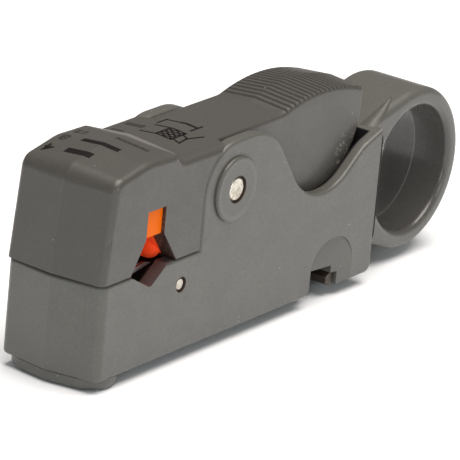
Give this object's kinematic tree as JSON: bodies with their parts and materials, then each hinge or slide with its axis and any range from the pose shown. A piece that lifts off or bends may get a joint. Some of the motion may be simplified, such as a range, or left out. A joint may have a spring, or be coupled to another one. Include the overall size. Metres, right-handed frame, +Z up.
{
  "type": "coaxial cable stripper",
  "caption": "Moulded rotary stripper for coaxial cable: sprung jaw lever over set blades, orange cable saddle, serrated thumb pad, finger ring and a stored hex key.",
  "frame": {"origin": "on the ground plane under the middle of the tool's bounding box", "axes": "+X from the nose to the finger ring, +Y to the side away from the hex key's scoop, +Z up from the foot to the thumb pad"},
  "size_m": [0.1064, 0.0202, 0.0374],
  "materials": {
    "body_plastic": "fine moulded grain, warm grey",
    "lever_plastic": "fine moulded grain, warm grey",
    "orange_plastic": "smooth moulded, orange",
    "holder_plastic": "fine moulded grain, warm grey",
    "bright_pin": "bright turned steel",
    "blade_steel": "ground steel",
    "screw_steel": "black oxide",
    "insert_brass": "turned brass",
    "spring_steel": "drawn spring wire",
    "key_steel": "black oxide"
  },
  "bodies": {
    "housing": {"main_housing": "body_plastic", "pivot_pin": "bright_pin", "cross_pin": "bright_pin", "blade_holder": "holder_plastic", "hex_key": "key_steel", "lever_spring": "spring_steel", "screw_insert_1": "insert_brass", "screw_insert_2": "insert_brass", "screw_insert_3": "insert_brass", "blade_spring_1": "spring_steel", "blade_spring_2": "spring_steel", "blade_spring_3": "spring_steel"},
    "lever": {"jaw_lever": "lever_plastic", "cable_saddle": "orange_plastic"},
    "screw_body_1": {"depth_screw_1": "screw_steel"},
    "blade_body_1": {"blade_1": "blade_steel"},
    "screw_body_2": {"depth_screw_2": "screw_steel"},
    "blade_body_2": {"blade_2": "blade_steel"},
    "screw_body_3": {"depth_screw_3": "screw_steel"},
    "blade_body_3": {"blade_3": "blade_steel"}
  },
  "joints": [
    {"name": "jaw_hinge", "type": "hinge", "parent": "housing", "child": "lever", "pos_m": [-0.01805, 0, 0.0268], "axis": [0, 1, 0], "range_deg": [0, 18], "stiffness_Nm_per_rad": 0.6, "springref_deg": -20.05, "deforming": ["lever_spring"]},
    {"name": "screw_travel_1", "type": "slide", "parent": "housing", "child": "screw_body_1", "axis": [0, 0, 1], "range_m": [-0.0008, 0.0008]},
    {"name": "blade_tilt_1", "type": "hinge", "parent": "housing", "child": "blade_body_1", "pos_m": [-0.03085, -0.004, 0.0136], "axis": [0, 1, 0], "range_deg": [-2.91, 2.91]},
    {"name": "screw_travel_2", "type": "slide", "parent": "housing", "child": "screw_body_2", "axis": [0, 0, 1], "range_m": [-0.0008, 0.0008]},
    {"name": "blade_tilt_2", "type": "hinge", "parent": "housing", "child": "blade_body_2", "pos_m": [-0.03085, 0, 0.0136], "axis": [0, 1, 0], "range_deg": [-3.87, 3.87]},
    {"name": "screw_travel_3", "type": "slide", "parent": "housing", "child": "screw_body_3", "axis": [0, 0, 1], "range_m": [-0.0008, 0.0008]},
    {"name": "blade_tilt_3", "type": "hinge", "parent": "housing", "child": "blade_body_3", "pos_m": [-0.03085, 0.004, 0.0136], "axis": [0, 1, 0], "range_deg": [-2.91, 2.91]}
  ],
  "couplings": [
    {"joint": "blade_tilt_1", "follows": "screw_travel_1", "rad_per_m": 62.5},
    {"joint": "blade_tilt_2", "follows": "screw_travel_2", "rad_per_m": 83.333},
    {"joint": "blade_tilt_3", "follows": "screw_travel_3", "rad_per_m": 62.5}
  ]
}
